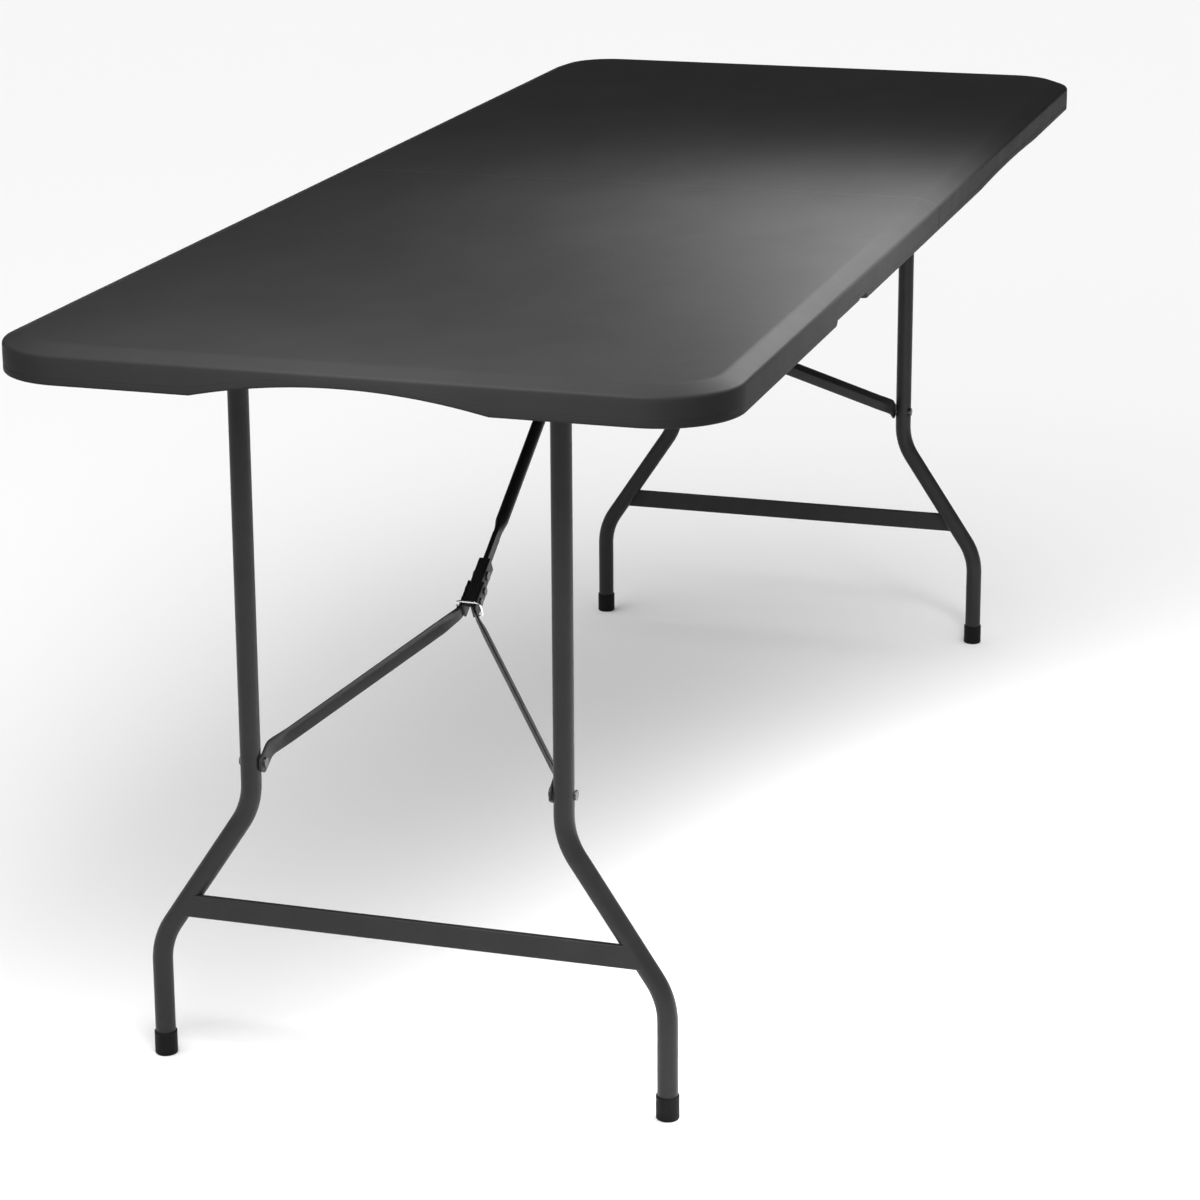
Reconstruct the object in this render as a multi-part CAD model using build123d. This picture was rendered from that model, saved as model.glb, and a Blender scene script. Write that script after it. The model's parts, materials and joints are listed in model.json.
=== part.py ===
"""Folding table: a two-part moulded top on two tubular leg sets with folding braces.

Millimetres. +X runs along the length, +Y across it, +Z up. The floor is Z = 0 and the
origin is under the middle of the top. Half a is on the -X side and half b on the +X side.
"""
from build123d import *
import math
import os

# ---- driving dimensions -------------------------------------------------------------
LENGTH = 1800.0
WIDTH = 700.0
HEIGHT = 750.0

# tabletop
RIM_DEPTH = 35.0             # top surface to the lower edge of the skirt
PANEL = 8.0                  # thickness inside the rim
RIM_WIDTH = 32.0
CORNER_R = 78.0
BAND_WIDTH = 20.0            # sloping band along the outer edges
BAND_DROP = 7.0
FOLD_GAP = 0.2               # each half stops this short of the fold line
FOLD_WALL = 12.0             # wall along the fold line
ARCH_WIDTH = 280.0           # shallow arch in the skirt of each short end
ARCH_RISE = 15.5
NOTCH_X = 415.0              # middle of the handle recess, from the fold line
NOTCH_WIDTH = 127.0
NOTCH_RISE = 6.0

# side rails
RAIL_T = 2.0
RAIL_WEB_Y = 300.0           # inner face of the upright web
RAIL_FLANGE = 16.0
RAIL_OUTER_X = 785.0
RAIL_INNER_X = 16.0
RAIL_LIFT = 1.0              # lower edge of the web above the skirt's lower edge
RAIL_RELIEF_LIFT = 7.0       # the same where the handle slides under the web
RAIL_RELIEF_EASE = 5.0
RAIL_SCREW_X = (90.0, 240.0, 530.0, 680.0)
SCREW_R = 2.0
SCREW_HEAD_R = 4.5
SCREW_HEAD_T = 2.4
SCREW_BITE = 5.5             # how far a screw goes into the panel

# centre hinges
PLATE_T = 3.0
PLATE_EYE_R = 8.0
PLATE_REACH = 110.0
PLATE_BAR = 20.0
PLATE_LIFT = 2.0             # lower edge of the bar above the skirt's lower edge
PLATE_BEND = 24.0            # the bar starts to drop here, from the fold line
PLATE_NECK = (5.0, 6.24)     # where the neck meets the eye, from the pin
PLATE_RIVET_X = (-45.0, -92.0)
PLATE_RIVET_LIFT = 12.0      # rivets above the skirt's lower edge
HINGE_PIN_R = 4.0
PIN_HEAD_R = 6.5
PIN_HEAD_T = 2.0
PIN_PLAY = 0.2
WASHER_R = 7.0
HINGE_POCKET = 10.0          # opening in the fold wall to either side of the web's inner face
RUN = 0.05                   # radial clearance of every running fit

# leg sets
LEG_X = 748.0                # leg pivot, from the fold line
LEG_R = 10.0
LEG_WALL = 1.5
LEG_Y_TOP = 157.5            # half spacing of the upright parts
LEG_Y_FOOT = 258.0           # half spacing of the feet
BEND_UPPER_Z = 272.0
BEND_LOWER_Z = 121.0
BEND_R = 75.0
PIVOT_DEPTH = 24.0           # leg pivot axis below the top surface
PIVOT_R = 8.0
STRETCHER_Z = 163.0
STRETCHER_H = 23.0
STRETCHER_T = 6.5
FOOT_R = 11.25
FOOT_H = 24.0
FOOT_SOLE = 5.0

# braces
LEG_TO_ARM = 411.0           # leg pivot down to the arm rivet
ARM_OFFSET = 4.0             # arm rivet in front of the leg's centreline
STRUT_X = 44.0               # strut pin, from the fold line
ARM_T = 3.0
ARM_HALF_W = 10.0
ARM_GAP = 0.5                # between an arm's end and the leg
HUB_LEN = 50.0               # arms run side by side for this length short of the knee
ARM_END = 14.0               # arms stop this short of the knee
ARM_TAB = (-12.0, 18.0)      # straight part beside the leg, from its rivet
ARM_BEND_R = 10.0
ARM_NECK = (20.0, 6.0)       # an arm narrows between these distances short of its hub
HUB_RIVETS = (20.0, 34.0)    # short of the knee
HUB_RIVET_HEAD_T = 1.6
EAR_IN = 3.5                 # knee bracket ears, inner face from the middle
EAR_T = 2.5
BRACKET_HALF_H = 8.5
BRACKET_WEB = 2.0
BRACKET_TAIL = 48.0
BRACKET_NOSE = 17.0
KNEE_R = 3.0
BLADE_T = 5.0                # flattened lower end of the strut
BLADE_HALF_W = 6.0
BLADE_LEN = 55.0
STRUT_R = 6.5
STRUT_TAPER = 20.0
EYE_R = 8.0
EYE_HALF_W = 9.5
STRUT_PIN_R = 4.0
STRUT_PIN_HEAD_R = 6.0
STRUT_PIN_HEAD_T = 1.5
BASE_HALF_X = 12.0           # base plate of the bracket under the panel
BASE_HALF_Y = 28.0
BASE_T = 2.0
BASE_SCREW_Y = 20.0
BASE_EAR_T = 2.5
BASE_EAR_PLAY = 0.5          # between an ear and the strut's eye
RING_WIRE_R = 1.25
RING_HALF_Y = 12.6
RING_HALF_N = 10.2
RING_GAP = 6.0               # half the opening on the ring's lower side
RING_S = 44.5                # ring to knee
RIVET_R = 3.0
RIVET_HEAD_R = 5.0
RIVET_HEAD_T = 1.8

# carry handle and latch
HANDLE_W = 120.0
HANDLE_T = 3.5
HANDLE_LEG = 26.0
HANDLE_GRIP = 14.0
HANDLE_REACH = 116.0
HANDLE_BARB = 15.0
HANDLE_BARB_LEN = 12.0
HANDLE_INSET = 3.0           # stowed grip behind the skirt's face
RETAINER_T = 1.2
RETAINER_BED = 2.0           # depth of its bed in the rim's lower edge
RETAINER_END = 20.0          # beyond each end of the recess
RETAINER_Y = (10.0, 26.0)    # from the skirt's face
RETAINER_PLAY = 0.5
RETAINER_SCREW_END = 12.0    # screws beyond each end of the recess
RETAINER_SCREW_Y = 18.0
RETAINER_SCREW_LEN = 12.0
LATCH_T = 3.0
LATCH_HALF_H = 5.0
LATCH_REACH = 42.0
LATCH_DROP = 14.0            # latch axis below the top surface
LATCH_SCREW_R = 2.5
LATCH_SCREW_BITE = 10.0
LATCH_SHOULDER = 2.3
LATCH_SHOULDER_R = 4.5
LATCH_PLAY = 0.2
LATCH_HEAD_R = 4.8
LATCH_HEAD_T = 2.2

# ---- worked out from the above ------------------------------------------------------
HALF_L = LENGTH / 2
HALF_W = WIDTH / 2
RIM_Z = HEIGHT - RIM_DEPTH
UNDER_Z = HEIGHT - PANEL
PIVOT_Z = HEIGHT - PIVOT_DEPTH
STRUT_Z = PIVOT_Z + ARM_OFFSET
PLATE_RIVET_Z = RIM_Z + PLATE_RIVET_LIFT
LATCH_Z = HEIGHT - LATCH_DROP
END_FACE = -HALF_L + RIM_WIDTH
ARM_Z = PIVOT_Z - LEG_TO_ARM
ARM_X = LEG_X - ARM_OFFSET
BRACE_OPEN = math.hypot(ARM_X - STRUT_X, STRUT_Z - ARM_Z)
BRACE_FLAT = LEG_X - LEG_TO_ARM - STRUT_X
FORK_LEN = (BRACE_OPEN - BRACE_FLAT) / 2
STRUT_LEN = (BRACE_OPEN + BRACE_FLAT) / 2
BRACE_ANGLE = math.atan2(STRUT_Z - ARM_Z, ARM_X - STRUT_X)
KNEE_X = -ARM_X + FORK_LEN * math.cos(BRACE_ANGLE)
KNEE_Z = ARM_Z + FORK_LEN * math.sin(BRACE_ANGLE)
ARM_Y = LEG_Y_TOP - LEG_R - ARM_GAP - ARM_T / 2
HUB_Y = EAR_IN + EAR_T + ARM_T / 2

UP_BRACE = (math.cos(BRACE_ANGLE), 0, math.sin(BRACE_ANGLE))
ACROSS_BRACE = (-math.sin(BRACE_ANGLE), 0, math.cos(BRACE_ANGLE))
# local frames of half a's brace: x up along the brace, y across the table, z square to both
ARM_FRAME = Plane(origin=(-ARM_X, 0, ARM_Z), x_dir=UP_BRACE, z_dir=ACROSS_BRACE)
KNEE_FRAME = Plane(origin=(KNEE_X, 0, KNEE_Z), x_dir=UP_BRACE, z_dir=ACROSS_BRACE)


# ---- helpers ------------------------------------------------------------------------
def block(x0, x1, y0, y1, z0, z1):
    """Box between two corners."""
    middle = Pos((x0 + x1) / 2, (y0 + y1) / 2, (z0 + z1) / 2)
    return middle * Box(abs(x1 - x0), abs(y1 - y0), abs(z1 - z0))


def rod_y(x, z, radius, y0, y1):
    """Cylinder along Y."""
    return Pos(x, (y0 + y1) / 2, z) * Rot(90, 0, 0) * Cylinder(radius, abs(y1 - y0))


def rod_x(y, z, radius, x0, x1):
    """Cylinder along X."""
    return Pos((x0 + x1) / 2, y, z) * Rot(0, 90, 0) * Cylinder(radius, abs(x1 - x0))


def rod_z(x, y, radius, z0, z1):
    """Cylinder along Z."""
    return Pos(x, y, (z0 + z1) / 2) * Cylinder(radius, abs(z1 - z0))


def rivet_y(x, z, shank_r, head_r, y_end, y_seat, head_t=RIVET_HEAD_T):
    """Rivet along Y: shank from y_end to y_seat, head beyond y_seat."""
    outwards = math.copysign(head_t, y_seat - y_end)
    shank = rod_y(x, z, shank_r, y_end, y_seat)
    return shank + rod_y(x, z, head_r, y_seat, y_seat + outwards)


def group(solids):
    """Separate solids kept in one node."""
    return Compound(children=list(solids))


def mirrored(shape):
    """The same piece on half b."""
    return mirror(shape, about=Plane.YZ)


def left_right(piece):
    """A piece at +Y and its mirror image at -Y."""
    return piece, mirror(piece, about=Plane.XZ)


# ---- tabletop -----------------------------------------------------------------------
def rounded_rectangle(inset, z):
    outline = RectangleRounded(LENGTH - 2 * inset, WIDTH - 2 * inset, CORNER_R - inset)
    return Pos(0, 0, z) * outline


def rail_screw_places():
    return [(-x, side * (RAIL_WEB_Y - RAIL_FLANGE / 2)) for side in (1, -1) for x in RAIL_SCREW_X]


def bracket_screw_places():
    return [(-STRUT_X, side * BASE_SCREW_Y) for side in (1, -1)]


def retainer_screw_places():
    reach = NOTCH_WIDTH / 2 + RETAINER_SCREW_END
    return [(-NOTCH_X + side * reach, -HALF_W + RETAINER_SCREW_Y) for side in (1, -1)]


def make_tabletop():
    """Half a of the top, without the parts that only one half has."""
    band_z = HEIGHT - BAND_DROP
    skirt = extrude(rounded_rectangle(0, RIM_Z), RIM_DEPTH - BAND_DROP)
    band = loft([rounded_rectangle(0, band_z), rounded_rectangle(BAND_WIDTH, HEIGHT)], ruled=True)
    hollow = extrude(rounded_rectangle(RIM_WIDTH, RIM_Z), RIM_DEPTH - PANEL)
    fold_wall = block(-FOLD_WALL, 0, -HALF_W, HALF_W, RIM_Z, UNDER_Z)
    top = skirt + band - hollow + fold_wall
    top &= block(-HALF_L, -FOLD_GAP, -HALF_W, HALF_W, RIM_Z, HEIGHT)

    half_arch = ARCH_WIDTH / 2
    arc = ThreePointArc((-half_arch, RIM_Z), (0, RIM_Z + ARCH_RISE), (half_arch, RIM_Z))
    arch = make_face(arc + Line((half_arch, RIM_Z), (-half_arch, RIM_Z)))
    end_plane = Plane(origin=(-HALF_L - 1, 0, 0), x_dir=(0, 1, 0), z_dir=(1, 0, 0))
    top -= extrude(end_plane * arch, RIM_WIDTH + 2)

    top -= block(-NOTCH_X - NOTCH_WIDTH / 2, -NOTCH_X + NOTCH_WIDTH / 2,
                 -HALF_W, -HALF_W + RIM_WIDTH, RIM_Z, RIM_Z + NOTCH_RISE)
    for side in (1, -1):
        top -= block(-FOLD_WALL, 0, side * (RAIL_WEB_Y - HINGE_POCKET),
                     side * (RAIL_WEB_Y + HINGE_POCKET), RIM_Z, UNDER_Z)
    for x, y in rail_screw_places() + bracket_screw_places():
        top -= rod_z(x, y, SCREW_R, UNDER_Z, UNDER_Z + SCREW_BITE)
    return top


def make_tabletop_a():
    """Half a also takes the handle retainer and the latch screw."""
    top = make_tabletop()
    plate_x = NOTCH_WIDTH / 2 + RETAINER_END + RETAINER_PLAY
    top -= block(-NOTCH_X - plate_x, -NOTCH_X + plate_x,
                 -HALF_W + RETAINER_Y[0] - RETAINER_PLAY, -HALF_W + RETAINER_Y[1] + RETAINER_PLAY,
                 RIM_Z, RIM_Z + RETAINER_BED)
    for x, y in retainer_screw_places():
        top -= rod_z(x, y, SCREW_R, RIM_Z, RIM_Z + RETAINER_SCREW_LEN)
    return top - latch_screw_hole()


def make_tabletop_b():
    return mirrored(make_tabletop() - latch_screw_hole())


def latch_screw_hole():
    return rod_x(0, LATCH_Z, LATCH_SCREW_R, END_FACE - LATCH_SCREW_BITE, END_FACE)


# ---- side rails, centre hinges and their fixings ------------------------------------
def make_rail(side, handle_relief):
    """Steel angle under a long side. The handle side has a relief for the handle."""
    web_z = RIM_Z + RAIL_LIFT
    outer = RAIL_WEB_Y + RAIL_T
    rail = block(-RAIL_OUTER_X, -RAIL_INNER_X, RAIL_WEB_Y, outer, web_z, UNDER_Z)
    rail += block(-RAIL_OUTER_X, -RAIL_INNER_X, RAIL_WEB_Y - RAIL_FLANGE, outer,
                  UNDER_Z - RAIL_T, UNDER_Z)
    rail = fillet(rail.edges().filter_by(Axis.X).sort_by(Axis.Z)[:1], 0.5)
    rail -= rod_y(-LEG_X, PIVOT_Z, PIVOT_R + RUN, RAIL_WEB_Y - 1, outer + 1)
    for x in PLATE_RIVET_X:
        rail -= rod_y(x, PLATE_RIVET_Z, RIVET_R, RAIL_WEB_Y - 1, outer + 1)
    for x in RAIL_SCREW_X:
        rail -= rod_z(-x, RAIL_WEB_Y - RAIL_FLANGE / 2, SCREW_R, UNDER_Z - RAIL_T, UNDER_Z)
    if handle_relief:
        half = HANDLE_W / 2 + HANDLE_BARB + RAIL_RELIEF_EASE
        rail -= block(-NOTCH_X - half, -NOTCH_X + half, RAIL_WEB_Y - 1, outer + 1,
                      RIM_Z, RIM_Z + RAIL_RELIEF_LIFT)
    return rail if side > 0 else mirror(rail, about=Plane.XZ)


def screw_up(x, y, seat_z, bite):
    """Pan-head screw driven upwards against a plate whose lower face is at seat_z."""
    head = rod_z(x, y, SCREW_HEAD_R, seat_z - SCREW_HEAD_T, seat_z)
    head = fillet(head.edges().sort_by(Axis.Z)[:1], 1.2)
    return head + rod_z(x, y, SCREW_R, seat_z, seat_z + bite)


def make_rail_screws():
    seat_z = UNDER_Z - RAIL_T
    return group(screw_up(x, y, seat_z, RAIL_T + SCREW_BITE) for x, y in rail_screw_places())


def make_hinge_plate(inner_y):
    """Left plate of half a: a bar along the rail that drops to an eye on the fold line."""
    bar_z = RIM_Z + PLATE_LIFT
    neck_x, neck_z = PLATE_NECK
    frame = Plane(origin=(0, inner_y + PLATE_T, 0), x_dir=(1, 0, 0), z_dir=(0, -1, 0))
    outline = Polyline((-PLATE_REACH, bar_z), (-PLATE_REACH, bar_z + PLATE_BAR),
                       (-PLATE_BEND, bar_z + PLATE_BAR), (neck_x, RIM_Z + neck_z),
                       (-neck_x, RIM_Z - neck_z), (-PLATE_BEND, bar_z), close=True)
    eye = Pos(0, RIM_Z) * Circle(PLATE_EYE_R)
    return extrude(frame * (make_face(outline) + eye), PLATE_T)


def make_hinge_plates_a():
    plate = make_hinge_plate(RAIL_WEB_Y - PLATE_T)
    plate -= rod_y(0, RIM_Z, HINGE_PIN_R, RAIL_WEB_Y - 5, RAIL_WEB_Y + 1)
    for x in PLATE_RIVET_X:
        plate -= rod_y(x, PLATE_RIVET_Z, RIVET_R, RAIL_WEB_Y - 5, RAIL_WEB_Y + 1)
    return left_right(plate)


def make_hinge_plates_b():
    outer = RAIL_WEB_Y + RAIL_T
    plate = make_hinge_plate(outer)
    plate -= rod_y(0, RIM_Z, HINGE_PIN_R + RUN, outer - 1, outer + PLATE_T + 1)
    for x in PLATE_RIVET_X:
        plate -= rod_y(x, PLATE_RIVET_Z, RIVET_R, outer - 1, outer + PLATE_T + 1)
    return left_right(mirrored(plate))


def make_hinge_pins():
    inner = RAIL_WEB_Y - PLATE_T
    outer = RAIL_WEB_Y + RAIL_T + PLATE_T
    pin = rod_y(0, RIM_Z, HINGE_PIN_R, inner, outer + PIN_PLAY)
    pin += rod_y(0, RIM_Z, PIN_HEAD_R, inner - PIN_HEAD_T, inner)
    pin += rod_y(0, RIM_Z, PIN_HEAD_R, outer + PIN_PLAY, outer + PIN_PLAY + PIN_HEAD_T)
    return left_right(pin)


def make_hinge_washers():
    washer = rod_y(0, RIM_Z, WASHER_R, RAIL_WEB_Y, RAIL_WEB_Y + RAIL_T)
    washer -= rod_y(0, RIM_Z, HINGE_PIN_R + RUN, RAIL_WEB_Y - 1, RAIL_WEB_Y + RAIL_T + 1)
    return left_right(washer)


def make_plate_rivets(inner_y, outer_y):
    """Rivets through a hinge plate and its rail, headed on both sides."""
    rivets = []
    for x in PLATE_RIVET_X:
        rivet = rod_y(x, PLATE_RIVET_Z, RIVET_R, inner_y, outer_y)
        rivet += rod_y(x, PLATE_RIVET_Z, RIVET_HEAD_R, inner_y - RIVET_HEAD_T, inner_y)
        rivet += rod_y(x, PLATE_RIVET_Z, RIVET_HEAD_R, outer_y, outer_y + RIVET_HEAD_T)
        rivets.extend(left_right(rivet))
    return rivets


# ---- strut brackets -----------------------------------------------------------------
def make_strut_bracket():
    """U-shaped bracket under the panel: a base plate with two ears."""
    ear_in = EYE_HALF_W + BASE_EAR_PLAY
    ear_out = ear_in + BASE_EAR_T
    x0, x1 = -STRUT_X - BASE_HALF_X, -STRUT_X + BASE_HALF_X
    bracket = block(x0, x1, -BASE_HALF_Y, BASE_HALF_Y, UNDER_Z - BASE_T, UNDER_Z)
    for side in (1, -1):
        bracket += block(x0, x1, side * ear_in, side * ear_out, STRUT_Z, UNDER_Z)
        bracket += rod_y(-STRUT_X, STRUT_Z, BASE_HALF_X, side * ear_in, side * ear_out)
    bracket &= block(x0, x1, -BASE_HALF_Y, BASE_HALF_Y, RIM_Z, UNDER_Z)
    bracket -= rod_y(-STRUT_X, STRUT_Z, STRUT_PIN_R, -BASE_HALF_Y, BASE_HALF_Y)
    for x, y in bracket_screw_places():
        bracket -= rod_z(x, y, SCREW_R, UNDER_Z - BASE_T - 1, UNDER_Z + 1)
    return bracket


def make_strut_bracket_screws():
    seat_z = UNDER_Z - BASE_T
    return group(screw_up(x, y, seat_z, BASE_T + SCREW_BITE) for x, y in bracket_screw_places())


def make_strut_pin():
    reach = EYE_HALF_W + BASE_EAR_PLAY + BASE_EAR_T
    head = reach + STRUT_PIN_HEAD_T
    pin = rod_y(-STRUT_X, STRUT_Z, STRUT_PIN_R, -reach, reach)
    for side in (1, -1):
        pin += rod_y(-STRUT_X, STRUT_Z, STRUT_PIN_HEAD_R, side * reach, side * head)
    return pin


# ---- leg set ------------------------------------------------------------------------
def leg_path():
    return FilletPolyline(
        (-LEG_X, LEG_Y_TOP, PIVOT_Z), (-LEG_X, LEG_Y_TOP, BEND_UPPER_Z),
        (-LEG_X, LEG_Y_FOOT, BEND_LOWER_Z), (-LEG_X, LEG_Y_FOOT, FOOT_SOLE), radius=BEND_R)


def leg_sweep(radius):
    path = leg_path()
    return sweep(Plane(origin=path @ 0, z_dir=path % 0) * Circle(radius), path=path)


def make_leg_tubes():
    """Splayed leg tube, coped round the pivot tube at its top."""
    leg = leg_sweep(LEG_R) - leg_sweep(LEG_R - LEG_WALL)
    leg -= rod_y(-LEG_X, PIVOT_Z, PIVOT_R, LEG_Y_TOP - 15, LEG_Y_TOP + 15)
    leg -= rod_y(-ARM_X, ARM_Z, RIVET_R, LEG_Y_TOP - 15, LEG_Y_TOP + 15)
    return left_right(leg)


def make_pivot_tube():
    half = RAIL_WEB_Y + RAIL_T + 4.5
    tube = rod_y(-LEG_X, PIVOT_Z, PIVOT_R, -half, half)
    return tube - rod_y(-LEG_X, PIVOT_Z, PIVOT_R - LEG_WALL, -half, half)


def make_pivot_caps():
    """Push-on caps that keep the pivot tube in the rails."""
    inner = RAIL_WEB_Y + RAIL_T + 0.5
    cap = rod_y(-LEG_X, PIVOT_Z, PIVOT_R + 2.5, inner, inner + 5)
    cap -= rod_y(-LEG_X, PIVOT_Z, PIVOT_R, inner, inner + 4)
    return group(left_right(cap))


def make_stretcher():
    """Flat bar let in between the splayed legs, flush with their outer side."""
    slope = (LEG_Y_FOOT - LEG_Y_TOP) / (BEND_UPPER_Z - BEND_LOWER_Z)
    low, high = STRETCHER_Z - STRETCHER_H / 2, STRETCHER_Z + STRETCHER_H / 2
    y_low = LEG_Y_FOOT - slope * (low - BEND_LOWER_Z)
    y_high = LEG_Y_FOOT - slope * (high - BEND_LOWER_Z)
    frame = Plane(origin=(-LEG_X - LEG_R, 0, 0), x_dir=(0, 1, 0), z_dir=(1, 0, 0))
    outline = make_face(Polyline((-y_low, low), (y_low, low), (y_high, high), (-y_high, high),
                                 close=True))
    bar = extrude(frame * outline, STRETCHER_T)
    for leg in left_right(leg_sweep(LEG_R)):
        bar -= leg
    bar = bar.solids().sort_by(SortBy.VOLUME)[-1]
    return fillet(bar.edges().filter_by(Axis.Y), 1.5)


def make_foot_caps():
    """Plastic cap on a leg's end, slightly narrower at the floor."""
    cap = rod_z(-LEG_X, LEG_Y_FOOT, FOOT_R, 0, FOOT_H)
    cap = fillet(cap.edges().sort_by(Axis.Z)[-1:], 0.5)
    cap = chamfer(cap.edges().sort_by(Axis.Z)[:1], 1.2)
    cap -= rod_z(-LEG_X, LEG_Y_FOOT, LEG_R, FOOT_SOLE, FOOT_H)
    return left_right(cap)


def make_leg_rivets():
    """Rivets in the legs that carry the brace arms, headed on the outer side."""
    inner = LEG_Y_TOP - LEG_R + 0.8
    rivet = rivet_y(-ARM_X, ARM_Z, RIVET_R, RIVET_HEAD_R, inner, LEG_Y_TOP + LEG_R)
    return group(left_right(rivet))


# ---- brace: fork, knee bracket, ring and strut --------------------------------------
def make_brace_arms():
    """Flat steel arm: a tab beside the leg, a slanting run and a tab beside the hub."""
    path = FilletPolyline((ARM_TAB[0], ARM_Y, 0), (ARM_TAB[1], ARM_Y, 0),
                          (FORK_LEN - HUB_LEN, HUB_Y, 0), (FORK_LEN - ARM_END, HUB_Y, 0),
                          radius=ARM_BEND_R)
    section = Plane(origin=path @ 0, x_dir=(0, 1, 0), z_dir=path % 0)
    arm = sweep(section * Rectangle(ARM_T, 2 * ARM_HALF_W), path=path)
    side_view = Plane(origin=(0, -HUB_Y, 0), x_dir=(1, 0, 0), z_dir=(0, -1, 0))
    hub_w = BRACKET_HALF_H - 0.5
    wide, narrow = [FORK_LEN - HUB_LEN - d for d in ARM_NECK]
    outline = Circle(ARM_HALF_W)
    outline += make_face(Polyline((0, -ARM_HALF_W), (wide, -ARM_HALF_W), (narrow, -hub_w),
                                  (FORK_LEN, -hub_w), (FORK_LEN, hub_w), (narrow, hub_w),
                                  (wide, ARM_HALF_W), (0, ARM_HALF_W), close=True))
    arm &= extrude(side_view * outline, -2 * ARM_Y)
    arm = ARM_FRAME.location * arm
    arm -= rod_y(-ARM_X, ARM_Z, RIVET_R, 0, LEG_Y_TOP)
    for x, z in hub_rivet_places():
        arm -= rod_y(x, z, RIVET_R, 0, 2 * HUB_Y)
    return left_right(arm)


def hub_rivet_places():
    """The two rivets, one behind the other, that join arm and bracket."""
    return [(KNEE_X - s * UP_BRACE[0], KNEE_Z - s * UP_BRACE[2]) for s in HUB_RIVETS]


def make_arm_rivets():
    """Rivets on the fork side: one at each arm's outer tab, two at each side of the hub."""
    rivets = list(left_right(rivet_y(-ARM_X, ARM_Z, RIVET_R, RIVET_HEAD_R,
                                     ARM_Y + ARM_T / 2, ARM_Y - ARM_T / 2)))
    for x, z in hub_rivet_places():
        rivet = rivet_y(x, z, RIVET_R, RIVET_HEAD_R - 1, EAR_IN, HUB_Y + ARM_T / 2,
                        HUB_RIVET_HEAD_T)
        rivets.extend(left_right(rivet))
    return group(rivets)


def make_knee_bracket():
    """Channel open below: ears either side of the strut's flat end, joined by a web above."""
    ear_out = EAR_IN + EAR_T
    channel = block(-BRACKET_TAIL, BRACKET_NOSE, -ear_out, ear_out, -BRACKET_HALF_H, BRACKET_HALF_H)
    channel = fillet(channel.edges().filter_by(Axis.X).sort_by(Axis.Z)[-2:], 1.5)
    channel -= block(-BRACKET_TAIL, BRACKET_NOSE, -EAR_IN, EAR_IN,
                     -BRACKET_HALF_H, BRACKET_HALF_H - BRACKET_WEB)
    channel = KNEE_FRAME.location * channel
    channel -= rod_y(KNEE_X, KNEE_Z, KNEE_R, -10, 10)
    for x, z in hub_rivet_places():
        channel -= rod_y(x, z, RIVET_R, -10, 10)
    return channel


def make_knee_rivet():
    ear_out = EAR_IN + EAR_T
    rivet = rod_y(KNEE_X, KNEE_Z, KNEE_R, -ear_out, ear_out)
    for side in (1, -1):
        rivet += rod_y(KNEE_X, KNEE_Z, RIVET_HEAD_R, side * ear_out, side * (ear_out + RIVET_HEAD_T))
    return rivet


def make_lock_ring():
    """Wire ring round the hub, open on its lower side where the strut swings in."""
    path = FilletPolyline(
        (-RING_S, RING_GAP, -RING_HALF_N), (-RING_S, RING_HALF_Y, -RING_HALF_N),
        (-RING_S, RING_HALF_Y, RING_HALF_N), (-RING_S, -RING_HALF_Y, RING_HALF_N),
        (-RING_S, -RING_HALF_Y, -RING_HALF_N), (-RING_S, -RING_GAP, -RING_HALF_N), radius=5.5)
    ring = sweep(Plane(origin=path @ 0, z_dir=path % 0) * Circle(RING_WIRE_R), path=path)
    return KNEE_FRAME.location * ring


def make_strut():
    """Round strut with a flattened lower end at the knee and a cross eye at its pin."""
    across = Plane.YZ
    blade = block(0, BLADE_LEN, -BLADE_T / 2, BLADE_T / 2, -BLADE_HALF_W, BLADE_HALF_W)
    blade += rod_y(0, 0, BLADE_HALF_W, -BLADE_T / 2, BLADE_T / 2)
    flat_end = across.offset(BLADE_LEN) * RectangleRounded(BLADE_T, 2 * BLADE_HALF_W, 1)
    round_end = across.offset(BLADE_LEN + STRUT_TAPER) * Circle(STRUT_R)
    taper = loft([flat_end, round_end])
    rod = rod_x(0, 0, STRUT_R, BLADE_LEN + STRUT_TAPER, STRUT_LEN)
    eye = rod_y(STRUT_LEN, 0, EYE_R, -EYE_HALF_W, EYE_HALF_W)
    strut = KNEE_FRAME.location * (blade + taper + rod + eye)
    strut -= rod_y(KNEE_X, KNEE_Z, KNEE_R + RUN, -20, 20)
    strut -= rod_y(-STRUT_X, STRUT_Z, STRUT_PIN_R + RUN, -20, 20)
    return strut


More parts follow.
